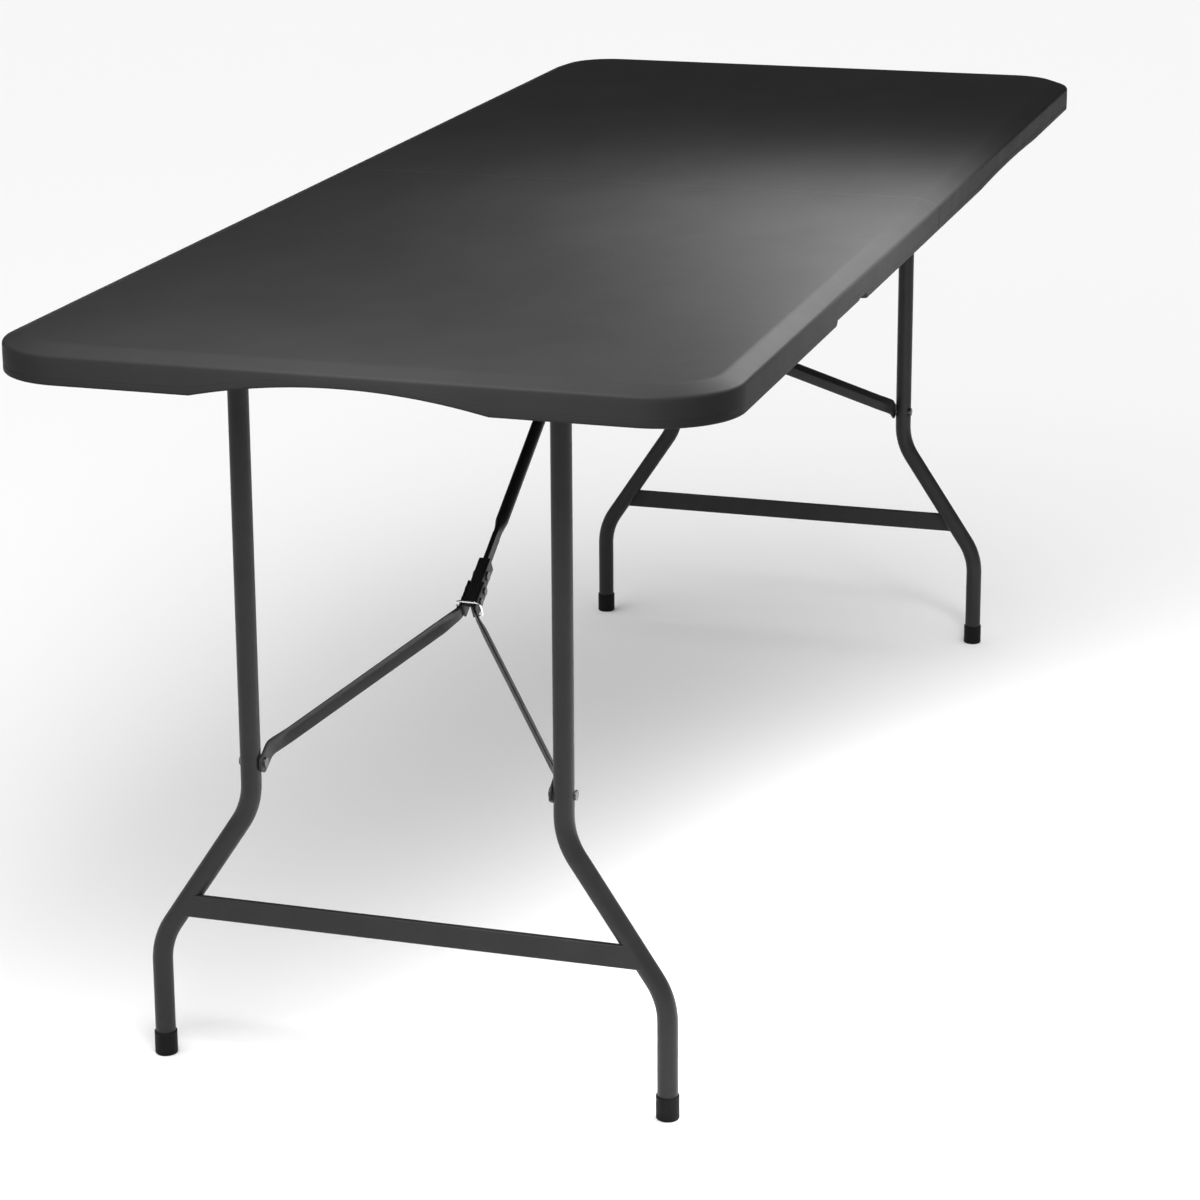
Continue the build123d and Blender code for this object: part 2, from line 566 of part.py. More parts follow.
# ---- carry handle -------------------------------------------------------------------
def make_handle():
    """Flat U-shaped loop that slides out through the recess; barbs stop it inside the rim."""
    z0 = RIM_Z + NOTCH_RISE - 0.3 - HANDLE_T
    front = -HALF_W + HANDLE_INSET
    back = front + HANDLE_REACH
    half = HANDLE_W / 2
    outline = Pos(-NOTCH_X, (front + back) / 2) * Rectangle(HANDLE_W, HANDLE_REACH)
    outline = fillet(outline.vertices().sort_by(Axis.Y)[:2], 18)
    finger = Pos(-NOTCH_X, (front + HANDLE_GRIP + back + 20) / 2)
    finger_gap = finger * Rectangle(HANDLE_W - 2 * HANDLE_LEG, back + 20 - front - HANDLE_GRIP)
    outline -= fillet(finger_gap.vertices().sort_by(Axis.Y)[:2], 12)
    for side in (1, -1):
        x0 = -NOTCH_X + side * half
        x1 = x0 + side * HANDLE_BARB
        barb = Pos((x0 + x1) / 2, back - HANDLE_BARB_LEN / 2) * Rectangle(HANDLE_BARB, HANDLE_BARB_LEN)
        outline += barb
    handle = extrude(Pos(0, 0, z0) * outline, HANDLE_T)
    return chamfer(handle.edges().group_by(Axis.Z)[0], 0.6)


def make_retainer():
    """Steel strip let into the rim under the handle."""
    half = NOTCH_WIDTH / 2 + RETAINER_END
    bed_z = RIM_Z + RETAINER_BED
    strip = block(-NOTCH_X - half, -NOTCH_X + half, -HALF_W + RETAINER_Y[0], -HALF_W + RETAINER_Y[1],
                  bed_z - RETAINER_T, bed_z)
    for x, y in retainer_screw_places():
        strip -= rod_z(x, y, SCREW_R, RIM_Z, RIM_Z + 3)
    return strip


def make_retainer_screws():
    screws = []
    seat = RIM_Z + RETAINER_BED - RETAINER_T
    for x, y in retainer_screw_places():
        head = rod_z(x, y, SCREW_HEAD_R - 1, RIM_Z, seat)
        screws.append(head + rod_z(x, y, SCREW_R, seat, RIM_Z + RETAINER_SCREW_LEN))
    return group(screws)


# ---- closing latch ------------------------------------------------------------------
def make_latch_hook():
    """Flat hook that swings down from behind the arch to catch the other half's stud."""
    inner_x = END_FACE + LATCH_SHOULDER + LATCH_PLAY
    frame = Plane(origin=(inner_x, 0, 0), x_dir=(0, 1, 0), z_dir=(1, 0, 0))
    outline = Pos(0, LATCH_Z) * Circle(LATCH_HALF_H)
    outline += Pos(LATCH_REACH / 2, LATCH_Z) * Rectangle(LATCH_REACH, 2 * LATCH_HALF_H)
    outline += Pos(LATCH_REACH, LATCH_Z) * Circle(LATCH_HALF_H)
    outline -= Pos(0, LATCH_Z) * Circle(LATCH_SCREW_R + RUN)
    throat = LATCH_SCREW_R + 0.3
    outline -= Pos(LATCH_REACH - 4, LATCH_Z) * Circle(throat)
    outline -= Pos(LATCH_REACH - 4, LATCH_Z - 5) * Rectangle(2 * throat, 10)
    return extrude(frame * outline, LATCH_T)


def make_latch_stud():
    """Shouldered screw in the short end's rim: the hook turns on one and catches the other."""
    head_x = END_FACE + LATCH_SHOULDER + 2 * LATCH_PLAY + LATCH_T
    stud = rod_x(0, LATCH_Z, LATCH_SCREW_R, END_FACE - LATCH_SCREW_BITE, head_x)
    stud += rod_x(0, LATCH_Z, LATCH_SHOULDER_R, END_FACE, END_FACE + LATCH_SHOULDER)
    return stud + rod_x(0, LATCH_Z, LATCH_HEAD_R, head_x, head_x + LATCH_HEAD_T)


# ---- all nodes ----------------------------------------------------------------------
def both_halves(name, shape):
    """The same piece on half a and mirrored on half b."""
    return {f"{name}_a": shape, f"{name}_b": mirrored(shape)}


def named_sides(name, pair):
    """A pair of pieces at +Y (left) and -Y (right)."""
    return {f"{name}_left": pair[0], f"{name}_right": pair[1]}


def make_nodes():
    nodes = {"tabletop_a": make_tabletop_a(), "tabletop_b": make_tabletop_b()}
    nodes["side_rail_a_left"] = make_rail(1, False)
    nodes["side_rail_a_right"] = make_rail(-1, True)
    nodes["side_rail_b_left"] = mirrored(make_rail(1, False))
    nodes["side_rail_b_right"] = mirrored(make_rail(-1, False))
    nodes.update(both_halves("rail_screws", make_rail_screws()))
    nodes.update(named_sides("hinge_plate_a", make_hinge_plates_a()))
    nodes.update(named_sides("hinge_plate_b", make_hinge_plates_b()))
    inner, outer = RAIL_WEB_Y - PLATE_T, RAIL_WEB_Y + RAIL_T
    nodes["plate_rivets_a"] = group(make_plate_rivets(inner, outer))
    nodes["plate_rivets_b"] = group([mirrored(r) for r in make_plate_rivets(RAIL_WEB_Y, outer + PLATE_T)])
    nodes.update(named_sides("hinge_pin", make_hinge_pins()))
    nodes.update(named_sides("hinge_washer", make_hinge_washers()))
    nodes.update(both_halves("strut_bracket", make_strut_bracket()))
    nodes.update(both_halves("strut_bracket_screws", make_strut_bracket_screws()))
    nodes.update(both_halves("strut_pin", make_strut_pin()))
    nodes.update(both_halves("leg_pivot_tube", make_pivot_tube()))
    nodes.update(both_halves("pivot_caps", make_pivot_caps()))
    for name, pair in (("leg_tube", make_leg_tubes()), ("foot_cap", make_foot_caps()),
                       ("brace_arm", make_brace_arms())):
        nodes.update(named_sides(f"{name}_a", pair))
        nodes.update(named_sides(f"{name}_b", [mirrored(piece) for piece in pair]))
    nodes.update(both_halves("stretcher", make_stretcher()))
    nodes.update(both_halves("leg_rivets", make_leg_rivets()))
    nodes.update(both_halves("arm_rivets", make_arm_rivets()))
    nodes.update(both_halves("knee_bracket", make_knee_bracket()))
    nodes.update(both_halves("knee_rivet", make_knee_rivet()))
    nodes.update(both_halves("lock_ring", make_lock_ring()))
    nodes.update(both_halves("brace_strut", make_strut()))
    nodes["carry_handle"] = make_handle()
    nodes["handle_retainer"] = make_retainer()
    nodes["retainer_screws"] = make_retainer_screws()
    nodes["latch_hook"] = make_latch_hook()
    nodes["latch_screw"] = make_latch_stud()
    nodes["latch_catch"] = mirrored(make_latch_stud())
    return nodes


os.makedirs("parts", exist_ok=True)
for node_name, node_shape in make_nodes().items():
    export_step(node_shape, os.path.join("parts", f"{node_name}.step"))
print(f"knee at x {KNEE_X:.3f} z {KNEE_Z:.3f}, fork {FORK_LEN:.3f}, strut {STRUT_LEN:.3f}, "
      f"brace angle {math.degrees(BRACE_ANGLE):.4f} degrees")
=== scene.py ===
import bmesh
import bpy
import json
import math
from mathutils import Matrix, Vector


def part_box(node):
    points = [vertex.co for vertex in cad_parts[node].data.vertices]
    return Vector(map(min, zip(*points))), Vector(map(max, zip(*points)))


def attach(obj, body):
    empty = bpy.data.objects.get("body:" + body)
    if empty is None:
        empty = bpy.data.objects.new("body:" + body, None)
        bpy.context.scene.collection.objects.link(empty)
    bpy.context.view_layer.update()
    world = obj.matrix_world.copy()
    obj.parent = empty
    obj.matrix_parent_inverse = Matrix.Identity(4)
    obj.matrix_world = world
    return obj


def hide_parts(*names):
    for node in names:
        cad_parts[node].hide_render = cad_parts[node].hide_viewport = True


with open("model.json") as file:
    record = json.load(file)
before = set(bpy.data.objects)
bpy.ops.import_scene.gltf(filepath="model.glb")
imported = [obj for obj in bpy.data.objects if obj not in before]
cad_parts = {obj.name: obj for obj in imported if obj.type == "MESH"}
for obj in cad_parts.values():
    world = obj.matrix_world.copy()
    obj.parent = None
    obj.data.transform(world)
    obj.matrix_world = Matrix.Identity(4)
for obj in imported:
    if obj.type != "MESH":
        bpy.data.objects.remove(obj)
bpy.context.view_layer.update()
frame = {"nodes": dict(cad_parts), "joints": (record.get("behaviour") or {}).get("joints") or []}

MM = 0.001
HALVES = ("a", "b")
SIDES = ("left", "right")

# ---- the tabletop, from the frame ---------------------------------------------------
TOP_LOW, TOP_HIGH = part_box("tabletop_a")
FAR_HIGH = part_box("tabletop_b")[1]
TOP_Z = TOP_HIGH[2]
RIM_Z = TOP_LOW[2]
END_X = FAR_HIGH[0]              # outer end face, from the fold line
SIDE_Y = TOP_HIGH[1]             # outer long faces
FOLD_X = -TOP_HIGH[0]            # each half stops this short of the fold line
UNDER_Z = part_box("side_rail_a_left")[1][2]
RIM_WIDTH = 32 * MM
CORNER_R = 78 * MM
BAND_WIDTH = 20 * MM
BAND_DROP = 7 * MM
ARCH_HALF = 140 * MM
ARCH_RISE = 15.5 * MM
NOTCH_X = 415 * MM               # middle of the handle's recess, from the fold line
NOTCH_HALF = 63.5 * MM
NOTCH_RISE = 6 * MM
NOTCH_EASE = 7 * MM              # length of the notch's sloping ends
GRIP_HALF = 170 * MM             # long shallow arch across from the recess, in half b
GRIP_RISE = 2.6 * MM
FOLD_WALL = 12 * MM
FLAT_START = 12 * MM             # the skin's first ring on the flat top, in from the band
TOP_ROUND = 16 * MM              # where the flat top rolls into the band
SKIRT_ROUND = 4 * MM             # where the band rolls into the skirt
LIP_ROUND = 2 * MM
FOLD_ROUND = 0.7 * MM
FOLD_CORNER = 2 * MM             # upright corners beside the fold line
FOLD_CORNER_STEPS = 4
PANEL_ROUND = 3 * MM             # where the inner wall meets the panel
SKIRT_RING = 14 * MM             # a ring of the skirt below the top, above every recess
ROUND_STEPS = 5
OUTLINE_STEP = 6 * MM
CORNER_STEPS = 24
PART_LINE = 0.25 * MM            # moulding line round the skirt
PART_LINE_Z = 7 * MM             # above the lip
BED_Y = (9.5 * MM, 26.5 * MM)    # bed of the handle's retaining strip, from the skirt's face
BED_EASE = 0.2 * MM
BED_HALF = 84 * MM
BED_RISE = 2 * MM
POCKET_Y = 300 * MM              # openings in the fold wall for the centre hinges
POCKET_HALF = 10 * MM
POCKET_RISE = 23 * MM
POCKET_EASE = 0.1 * MM
RAIL_IN_Y = -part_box("side_rail_a_right")[1][1]
BRACKET_X = 44 * MM
BRACKET_HALF = Vector((26, 38)) * MM
PANEL_MARGIN = 19 * MM
DIMPLE_PITCH = 44 * MM
DIMPLE_SIDE = 5                  # points along each side of a dimple's cell
DIMPLE_RINGS = ((10.5 * MM, 0.0), (9.6 * MM, 0.5 * MM),   # (radius, depth)
                (7.6 * MM, 3.4 * MM), (6.4 * MM, 4.2 * MM))
CELL_WELD = 0.05 * MM
TOP_SHARP = 40                   # degrees; edges that turn more stay sharp
EPS = 0.01 * MM
STRAIGHT_X = END_X - CORNER_R    # where the long sides turn into the end corners


# ---- small helpers ------------------------------------------------------------------
def mix(a, b, t):
    return a + (b - a) * t


def smooth(t):
    t = min(1.0, max(0.0, t))
    return t * t * (3 - 2 * t)


def spread(a, b, step):
    """Evenly spaced values from a towards b, without b itself."""
    count = max(1, round(abs(b - a) / step))
    return [mix(a, b, i / count) for i in range(count)]


def cos_sin(degrees):
    return math.cos(math.radians(degrees)), math.sin(math.radians(degrees))


def bridge(mesh, rings):
    """Faces between neighbouring rings of the same number of points."""
    count = len(rings[0])
    for a, b in zip(rings, rings[1:]):
        for i in range(count):
            j = (i + 1) % count
            mesh.faces.new((a[i], a[j], b[j], b[i]))


# ---- materials ----------------------------------------------------------------------
NOISE_LOW, NOISE_HIGH = 0.3, 0.7  # a noise texture's values mostly lie between these


class Finish:
    """A material with its principled shader, and short calls for the nodes that feed it."""

    def __init__(self, name, color, roughness, metallic=0.0, specular=0.5):
        self.material = bpy.data.materials.new(name)
        self.material.use_nodes = True
        self.tree = self.material.node_tree
        self.shader = self.tree.nodes["Principled BSDF"]
        self.shader.inputs["Base Color"].default_value = (*color, 1)
        self.shader.inputs["Roughness"].default_value = roughness
        self.shader.inputs["Metallic"].default_value = metallic
        self.shader.inputs["Specular IOR Level"].default_value = specular
        self.place = self.node("ShaderNodeTexCoord").outputs["Object"]
        self.last_bump = None

    def node(self, kind, **inputs):
        made = self.tree.nodes.new(kind)
        for name, value in inputs.items():
            made.inputs[name.replace("_", " ")].default_value = value
        return made

    def link(self, out, into):
        self.tree.links.new(out, into)

    def noise(self, scale, detail=3.0, rough=0.5, stretch=(1, 1, 1)):
        mapping = self.node("ShaderNodeMapping", Scale=stretch)
        noise = self.node("ShaderNodeTexNoise", Scale=scale, Detail=detail, Roughness=rough)
        self.link(self.place, mapping.inputs["Vector"])
        self.link(mapping.outputs["Vector"], noise.inputs["Vector"])
        return noise.outputs["Fac"]

    def cells(self, scale):
        cells = self.node("ShaderNodeTexVoronoi", Scale=scale)
        cells.feature = "SMOOTH_F1"
        self.link(self.place, cells.inputs["Vector"])
        return cells.outputs["Distance"]

    def remap(self, value, to_low, to_high, low=NOISE_LOW, high=NOISE_HIGH):
        remap = self.node("ShaderNodeMapRange", From_Min=low, From_Max=high,
                          To_Min=to_low, To_Max=to_high)
        self.link(value, remap.inputs["Value"])
        return remap.outputs["Result"]

    def vary_color(self, value, dark, light):
        blend = self.tree.nodes.new("ShaderNodeMix")
        blend.data_type = "RGBA"
        blend.inputs["A"].default_value = (*dark, 1)
        blend.inputs["B"].default_value = (*light, 1)
        self.link(value, blend.inputs["Factor"])
        self.link(blend.outputs["Result"], self.shader.inputs["Base Color"])

    def vary_roughness(self, value):
        self.link(value, self.shader.inputs["Roughness"])

    def bump(self, height, strength, depth):
        bump = self.node("ShaderNodeBump", Strength=strength, Distance=depth)
        self.link(height, bump.inputs["Height"])
        if self.last_bump:
            self.link(self.last_bump, bump.inputs["Normal"])
        self.last_bump = bump.outputs["Normal"]
        self.link(self.last_bump, self.shader.inputs["Normal"])


def grey(value):
    return (value, value, value)


def moulded_top():
    """Blow-moulded polyethylene: fine pebble grain, slow flow marks, a soft satin gloss."""
    finish = Finish("moulded_top", grey(0.018), roughness=0.5, specular=0.03)
    flow = finish.noise(scale=7, detail=4, rough=0.55, stretch=(1, 1.6, 1))
    finish.vary_color(finish.remap(flow, 0, 1), dark=grey(0.0170), light=grey(0.0190))
    patches = finish.noise(scale=26, detail=5, rough=0.6)
    finish.vary_roughness(finish.remap(patches, 0.46, 0.53))
    finish.bump(finish.cells(scale=900), strength=0.14, depth=0.1 * MM)
    finish.bump(finish.noise(scale=300, detail=2), strength=0.08, depth=0.15 * MM)
    return finish.material


def powder_coat(name, dark, light, rough):
    """Powder-coated steel: orange-peel bump, small changes of tone and gloss."""
    finish = Finish(name, grey(light), rough, specular=0.22)
    tone = finish.noise(scale=34, detail=4, rough=0.6)
    finish.vary_color(finish.remap(tone, 0, 1), grey(dark), grey(light))
    gloss = finish.noise(scale=120, detail=3)
    finish.vary_roughness(finish.remap(gloss, rough - 0.04, rough + 0.05))
    finish.bump(finish.noise(scale=700, detail=2), strength=0.22, depth=0.12 * MM)
    finish.bump(finish.noise(scale=60, detail=2), strength=0.05, depth=0.3 * MM)
    return finish.material


def soft_plastic(name, dark, light, rough):
    """Injection-moulded plastic: spark-eroded grain and faint rubbing."""
    finish = Finish(name, grey(light), rough, specular=0.12)
    tone = finish.noise(scale=90, detail=4, rough=0.6)
    finish.vary_color(finish.remap(tone, 0, 1, high=0.75), grey(dark), grey(light))
    rub = finish.noise(scale=220, detail=4, stretch=(1, 1, 0.2))
    finish.vary_roughness(finish.remap(rub, rough - 0.06, rough + 0.06))
    finish.bump(finish.noise(scale=1500, detail=2), strength=0.3, depth=0.08 * MM)
    return finish.material


def plated(name, dark, light, rough, grain):
    """Plated or bare steel: drawn grain and slightly clouded reflections."""
    finish = Finish(name, light, rough, metallic=1.0)
    cloud = finish.noise(grain, detail=4, rough=0.6)
    finish.vary_color(finish.remap(cloud, 0, 1), dark, light)
    haze = finish.noise(grain * 3, detail=3)
    finish.vary_roughness(finish.remap(haze, rough * 0.75, rough * 1.3))
    drawn = finish.noise(grain * 6, detail=2, stretch=(1, 1, 0.3))
    finish.bump(drawn, strength=0.1, depth=0.05 * MM)
    return finish.material


FINISHES = {
    "top_plastic": moulded_top(),
    "leg_steel": powder_coat("leg_coat", dark=0.0165, light=0.0205, rough=0.4),
    # the legs' black powder coat in a darker copy: painted shade, not a finish of its own
    "rail_steel": powder_coat("rail_coat_painted_shade", dark=0.013, light=0.0165, rough=0.45),
    "cap_plastic": soft_plastic("cap_black", dark=0.0042, light=0.0058, rough=0.55),
    "handle_plastic": soft_plastic("handle_black", dark=0.0055, light=0.0075, rough=0.42),
    "rivet_steel": plated("rivet_dark", dark=(0.10, 0.10, 0.105), light=(0.16, 0.16, 0.165),
                          rough=0.38, grain=260),
    "zinc_steel": plated("zinc", dark=(0.42, 0.43, 0.45), light=(0.58, 0.59, 0.6),
                         rough=0.32, grain=240),
    "bright_wire": plated("bright", dark=(0.72, 0.72, 0.73), light=(0.86, 0.86, 0.87),
                          rough=0.12, grain=300),
}


# ---- tabletop mesh ------------------------------------------------------------------
def corner_round(before, corner, after, radius):
    """Points of the arc that rounds a corner of a flat profile."""
    into = (Vector(corner) - Vector(before)).normalized()
    out = (Vector(after) - Vector(corner)).normalized()
    turn = into.angle_signed(out)
    reach = radius * math.tan(abs(turn) / 2)
    start = Vector(corner) - into * reach
    side = Vector((into.y, -into.x)) if turn > 0 else Vector((-into.y, into.x))
    centre = start + side * radius
    spoke = start - centre
    turns = [-turn * i / ROUND_STEPS for i in range(ROUND_STEPS + 1)]
    return [tuple(centre + Matrix.Rotation(angle, 2) @ spoke) for angle in turns]


def rim_profile():
    """Section of the edge from the flat top, over the band and skirt, round the lip and up the
    inner wall, as (inset from the outer face, height)."""
    flat_in = (BAND_WIDTH + FLAT_START, TOP_Z)
    top_edge = (BAND_WIDTH, TOP_Z)
    shoulder = (0, TOP_Z - BAND_DROP)
    lip_out = (0, RIM_Z)
    lip_in = (RIM_WIDTH, RIM_Z)
    panel_edge = (RIM_WIDTH, UNDER_Z)
    panel_in = (RIM_WIDTH + PANEL_MARGIN, UNDER_Z)
    line_z = RIM_Z + PART_LINE_Z
    bed_out, bed_in = BED_Y
    points = [flat_in]
    points += corner_round(flat_in, top_edge, shoulder, TOP_ROUND)
    points += corner_round(top_edge, shoulder, lip_out, SKIRT_ROUND)
    points += [(0, TOP_Z - SKIRT_RING), (0, line_z + PART_LINE), (PART_LINE, line_z)]
    points += [(0, line_z - PART_LINE)]
    points += corner_round(shoulder, lip_out, lip_in, LIP_ROUND)
    points += [(bed_out, RIM_Z), (bed_out + BED_EASE, RIM_Z)]
    points += [(bed_in - BED_EASE, RIM_Z), (bed_in, RIM_Z)]
    points += corner_round(lip_out, lip_in, panel_edge, LIP_ROUND)
    points += corner_round(lip_in, panel_edge, panel_in, PANEL_ROUND)
    return points


def fold_inset(inset, z):
    """Inset of a section point on the fold side, where the wall is thin and upright."""
    if z > RIM_Z + LIP_ROUND and inset < RIM_WIDTH - LIP_ROUND:
        drop = min(1.0, (TOP_Z - z) / FOLD_ROUND)
        return FOLD_ROUND * (1 - math.sqrt(1 - (1 - drop) ** 2))
    if inset > RIM_WIDTH / 2:
        return FOLD_WALL - (RIM_WIDTH - inset)
    return min(inset, FOLD_WALL / 2)


def bump_shape(distance, half, ease):
    """1 within half of the middle, easing to 0 over the length ease."""
    return 1 - smooth((abs(distance) - half) / ease + 0.5)


# A place on the outline is a function of the inset from the outside and the inset from the fold.
# It gives the point as (distance from the fold line, y).
def fold_place(share):
    return lambda inset, fold: (FOLD_X + fold, share * (SIDE_Y - inset))


def fold_corner_place(y_sign, degrees):
    c, s = cos_sin(degrees)
    return lambda inset, fold: (FOLD_X + fold + FOLD_CORNER * (1 - c),
                                y_sign * (SIDE_Y - inset - FOLD_CORNER * (1 - s)))


def side_place(y_sign, u):
    share = (u - FOLD_X) / (STRAIGHT_X - FOLD_X)
    return lambda inset, fold: (mix(FOLD_X + fold, STRAIGHT_X, share), y_sign * (SIDE_Y - inset))


def end_corner_place(y_sign, degrees):
    c, s = cos_sin(degrees)
    return lambda inset, fold: (STRAIGHT_X + (CORNER_R - inset) * c,
                                y_sign * (SIDE_Y - CORNER_R + (CORNER_R - inset) * s))


def end_place(y):
    return lambda inset, fold: (END_X - inset, y)


def pocket_rise(y):
    return POCKET_RISE if abs(abs(y) - POCKET_Y) < POCKET_HALF else 0.0


def arch(distance, half, rise):
    return rise * max(0.0, 1 - (distance / half) ** 2)


def grip_rise(half, u):
    """Lip and strip-bed rise of the handle's recess in half a, or of the arch in half b."""
    if half == "b":
        return arch(u - NOTCH_X, GRIP_HALF, GRIP_RISE), 0.0
    return (NOTCH_RISE * bump_shape(u - NOTCH_X, NOTCH_HALF, NOTCH_EASE),
            BED_RISE * bump_shape(u - NOTCH_X, BED_HALF, OUTLINE_STEP))


def stations(half):
    """Places round one half's outline, each with the rise of the lip and of the strip's bed."""
    fold_end = SIDE_Y - 2 * FOLD_CORNER
    pocket_edges = [s * (POCKET_Y + k * POCKET_HALF) for s in (-1, 1) for k in (-1, 1)]
    fold_ys = spread(-fold_end, fold_end, OUTLINE_STEP) + [fold_end]
    fold_ys += [y + ease for y in pocket_edges for ease in (-POCKET_EASE, POCKET_EASE)]
    fold_turn, end_turn = 90 / FOLD_CORNER_STEPS, 90 / CORNER_STEPS
    side_start, end_y = FOLD_X + FOLD_CORNER, SIDE_Y - CORNER_R

    made = [(fold_place(y / SIDE_Y), pocket_rise(y), 0.0) for y in sorted(fold_ys)]
    made += [(fold_corner_place(1, a), 0.0, 0.0) for a in spread(0, 90, fold_turn)]
    made += [(side_place(1, u), 0.0, 0.0) for u in spread(side_start, STRAIGHT_X, OUTLINE_STEP)]
    made += [(end_corner_place(1, a), 0.0, 0.0) for a in spread(90, 0, end_turn)]
    made += [(end_place(y), arch(y, ARCH_HALF, ARCH_RISE), 0.0)
             for y in spread(end_y, -end_y, OUTLINE_STEP)]
    made += [(end_corner_place(-1, a), 0.0, 0.0) for a in spread(0, 90, end_turn)]
    made += [(side_place(-1, u), *grip_rise(half, u))
             for u in spread(STRAIGHT_X, side_start, OUTLINE_STEP / 2)]
    made += [(fold_corner_place(-1, a), 0.0, 0.0) for a in spread(90, 0, fold_turn)]
    return made


def lifted(inset, z, rise, bed):
    """Height of a section point once the lip is raised there."""
    lip_top = RIM_Z + LIP_ROUND + EPS
    on_skirt = z > RIM_Z + PART_LINE_Z + PART_LINE
    on_inner_wall = inset > RIM_WIDTH - EPS and z > lip_top
    if on_skirt or on_inner_wall:
        return z
    if z >= lip_top:
        return max(z, min(z + rise, TOP_Z - SKIRT_RING)) if rise > 0 else z
    on_bed = BED_Y[0] + BED_EASE / 2 < inset < BED_Y[1] - BED_EASE / 2
    return z + max(rise, bed if on_bed else 0.0)


def dimple_cell(mesh, low, high, hollow):
    """One square of the underside, with or without a moulded dimple."""
    centre = (low + high) / 2
    half = high - centre
    middle = Vector((centre.x, centre.y, UNDER_Z))
    rim = []
    for i in range(4 * DIMPLE_SIDE):
        side, k = divmod(i, DIMPLE_SIDE)
        along = mix(-1, 1, k / DIMPLE_SIDE)
        x, y = ((along, -1), (1, along), (-along, 1), (-1, -along))[side]
        rim.append(Vector((centre.x + x * half.x, centre.y + y * half.y, UNDER_Z)))
    rings = [rim]
    if hollow:
        for radius, depth in DIMPLE_RINGS:
            floor = middle + Vector((0, 0, depth))
            rings.append([floor + (p - middle).normalized() * radius for p in rim])
    made = [[mesh.verts.new(p) for p in ring] for ring in rings]
    for outer, inner in zip(made, made[1:]):
        for i in range(len(outer)):
            j = (i + 1) % len(outer)
            mesh.faces.new((outer[i], inner[i], inner[j], outer[j]))
    mesh.faces.new(made[-1])


def underside_clear(centre):
    """No rail or bracket is fixed over a dimple here."""
    near_rail = abs(centre.y) > RAIL_IN_Y - DIMPLE_RINGS[0][0]
    at_bracket = (abs(abs(centre.x) - BRACKET_X) < BRACKET_HALF.x
                  and abs(centre.y) < BRACKET_HALF.y)
    return not near_rail and not at_bracket


def add_underside(mesh, sign):
    """A grid of dimples on the panel, joined up to the inner wall."""
    low_u, high_u = FOLD_WALL + PANEL_MARGIN, END_X - RIM_WIDTH - PANEL_MARGIN
    high_y = SIDE_Y - RIM_WIDTH - PANEL_MARGIN
    across = round(2 * high_y / DIMPLE_PITCH)
    along = round((high_u - low_u) / DIMPLE_PITCH)
    cells = bmesh.new()
    for i in range(along):
        for j in range(across):
            xs = [sign * mix(low_u, high_u, (i + k) / along) for k in (0, 1)]
            low = Vector((min(xs), mix(-high_y, high_y, j / across)))
            high = Vector((max(xs), mix(-high_y, high_y, (j + 1) / across)))
            dimple_cell(cells, low, high, underside_clear((low + high) / 2))
    bmesh.ops.remove_doubles(cells, verts=cells.verts, dist=CELL_WELD)
    patch = bpy.data.meshes.new("underside")
    cells.to_mesh(patch)
    cells.free()
    mesh.from_mesh(patch)
    mesh.edges.ensure_lookup_table()
    open_edges = [edge for edge in mesh.edges if len(edge.link_faces) == 1]
    bmesh.ops.triangle_fill(mesh, edges=open_edges, use_beauty=True)


def make_tabletop(half):
    """One half of the moulded top: outside, lip, inner wall and dimpled underside in one skin."""
    sign = -1 if half == "a" else 1
    mesh = bmesh.new()
    places = stations(half)
    rings = []
    for inset, z in rim_profile():
        ring = []
        for place, rise, bed in places:
            u, y = place(inset, fold_inset(inset, z))
            ring.append(mesh.verts.new((sign * u, y, lifted(inset, z, rise, bed))))
        rings.append(ring)
    bridge(mesh, rings)
    mesh.faces.new(rings[0])
    add_underside(mesh, sign)
    add_piece(f"moulded_top_{half}", mesh, "top_plastic", f"half_{half}",
              f"tabletop_{half}", TOP_SHARP)


def add_piece(name, mesh, slot, body, node, sharp):
    """Turns a bmesh into a smooth piece that rides a body and stands for a CAD node."""
    bmesh.ops.recalc_face_normals(mesh, faces=mesh.faces)
    for face in mesh.faces:
        face.smooth = True
    data = bpy.data.meshes.new(name)
    mesh.to_mesh(data)
    mesh.free()
    piece = bpy.data.objects.new(name, data)
    bpy.context.scene.collection.objects.link(piece)
    data.materials.append(FINISHES[slot])
    data.set_sharp_from_angle(angle=math.radians(sharp))
    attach(piece, body)
    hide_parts(node)


# ---- sheet metal --------------------------------------------------------------------
SHEET_METAL = ("knee_bracket", "strut_bracket", "hinge_plate", "side_rail", "stretcher",
               "carry_handle", "latch_hook", "handle_retainer")
EDGE_ROUND = 0.5 * MM
EDGE_SEGMENTS = 3
EDGE_ANGLE = 35                  # degrees; only edges that turn more are rolled


def round_edges(node):
    """Rolls the sharp edges of a CAD piece without changing its mesh."""
    weld = node.modifiers.new("weld", "WELD")
    weld.merge_threshold = EPS
    bevel = node.modifiers.new("edges", "BEVEL")
    bevel.width = EDGE_ROUND
    bevel.segments = EDGE_SEGMENTS
    bevel.limit_method = "ANGLE"
    bevel.angle_limit = math.radians(EDGE_ANGLE)
    bevel.harden_normals = True


